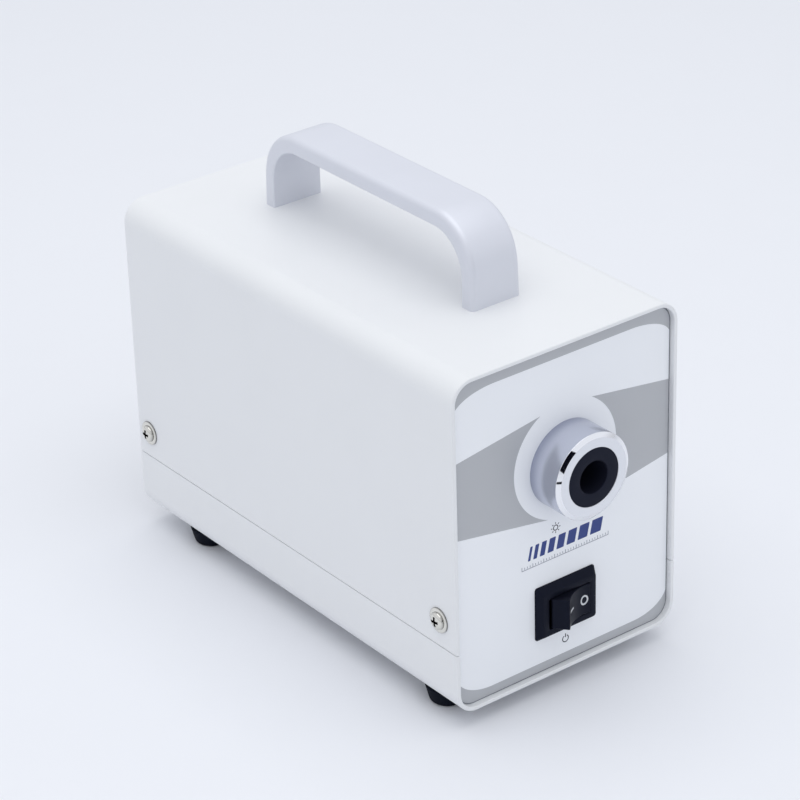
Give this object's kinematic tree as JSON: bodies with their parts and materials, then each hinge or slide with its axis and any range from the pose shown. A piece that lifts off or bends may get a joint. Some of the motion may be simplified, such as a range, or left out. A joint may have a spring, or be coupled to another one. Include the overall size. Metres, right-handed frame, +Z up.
{
  "type": "fiber optic illuminator",
  "caption": "Bench light source: white sheet-metal case with strap handle, light-guide port, power rocker, and fan, mains inlet and intensity knob at the rear.",
  "frame": {"origin": "on the standing surface under the middle of the whole object's length and width", "axes": "+Z up, front panel faces -Y, +X to the right seen from the front"},
  "size_m": [0.121, 0.2532, 0.195],
  "materials": {
    "board_green": "solder mask",
    "capacitor_yellow": "boxed film capacitor",
    "case_paint": "fine-grained white powder coat",
    "choke_tape": "enamelled winding",
    "collar_metal": "turned aluminium, satin side and bright chamfer",
    "contact_brass": "plated brass",
    "control_metal": "pressed can",
    "fan_black": "moulded black",
    "filter_glass": "heat absorbing, slightly green",
    "fuse_glass": "clear",
    "guard_chrome": "chromed wire",
    "handle_metal": "satin silver",
    "inlet_black": "moulded black",
    "inner_steel": "galvanised sheet",
    "insert_black": "black satin",
    "lamp_ceramic": "unglazed ceramic",
    "panel_film": "printed polycarbonate film, satin",
    "panel_paint": "white powder coat",
    "quartz": "clear quartz",
    "reflector_glass": "dichroic coated glass",
    "rubber_black": "matte",
    "screw_steel": "bright zinc plated",
    "sink_black": "black anodised",
    "switch_black": "black gloss",
    "terminal_green": "moulded green",
    "winding_tape": "yellow polyester tape"
  },
  "bodies": {
    "case": {"board_screws": "screw_steel", "bottom_tray": "case_paint", "carry_handle": "handle_metal", "clinch_nuts": "screw_steel", "control_board": "board_green", "control_nut": "screw_steel", "equipment_deck": "inner_steel", "fan_frame": "fan_black", "fan_guard": "guard_chrome", "fan_screws": "screw_steel", "film_capacitor": "capacitor_yellow", "filter_holder": "inner_steel", "foot_front_left": "rubber_black", "foot_front_right": "rubber_black", "foot_rear_left": "rubber_black", "foot_rear_right": "rubber_black", "foot_screws": "screw_steel", "front_overlay": "panel_film", "front_panel": "panel_paint", "handle_screws": "screw_steel", "heat_filter": "filter_glass", "heat_sink": "sink_black", "hex_nuts": "screw_steel", "inlet_contacts": "contact_brass", "inlet_screws": "screw_steel", "lamp_bracket": "inner_steel", "lamp_capsule": "quartz", "lamp_clips": "inner_steel", "lamp_pins": "contact_brass", "lamp_reflector": "reflector_glass", "lamp_screws": "screw_steel", "lamp_socket": "lamp_ceramic", "mains_inlet": "inlet_black", "port_collar": "collar_metal", "port_insert": "insert_black", "port_locknut": "screw_steel", "potentiometer": "control_metal", "rear_panel": "panel_paint", "side_rail_left": "inner_steel", "side_rail_right": "inner_steel", "side_screws": "screw_steel", "spacers": "contact_brass", "suppression_choke": "choke_tape", "switch_housing": "switch_black", "switch_terminals": "contact_brass", "terminal_block": "terminal_green", "top_cover": "case_paint", "transformer": "winding_tape", "transformer_bolt": "screw_steel", "transformer_dish": "screw_steel", "transformer_nut": "screw_steel", "transformer_pads": "rubber_black", "tray_screws": "screw_steel", "triac": "sink_black"},
    "rocker": {"switch_rocker": "switch_black"},
    "knob": {"control_shaft": "control_metal", "intensity_knob": "insert_black"},
    "rotor": {"fan_rotor": "fan_black"},
    "drawer": {"fuse_drawer": "inlet_black", "fuse": "fuse_glass"}
  },
  "joints": [
    {"name": "power_rocker", "type": "hinge", "parent": "case", "child": "rocker", "pos_m": [0, -0.1085, 0.0381], "axis": [0, 0, -1], "range_deg": [0, 38]},
    {"name": "intensity_turn", "type": "hinge", "parent": "case", "child": "knob", "pos_m": [0.033, 0.11, 0.038], "axis": [0, -1, 0], "range_deg": [0, 300]},
    {"name": "fan_spin", "type": "hinge", "parent": "case", "child": "rotor", "pos_m": [0, 0.1, 0.106], "axis": [0, 1, 0], "continuous": true},
    {"name": "fuse_drawer_slide", "type": "slide", "parent": "case", "child": "drawer", "axis": [0, 1, 0], "range_m": [0, 0.018]}
  ]
}
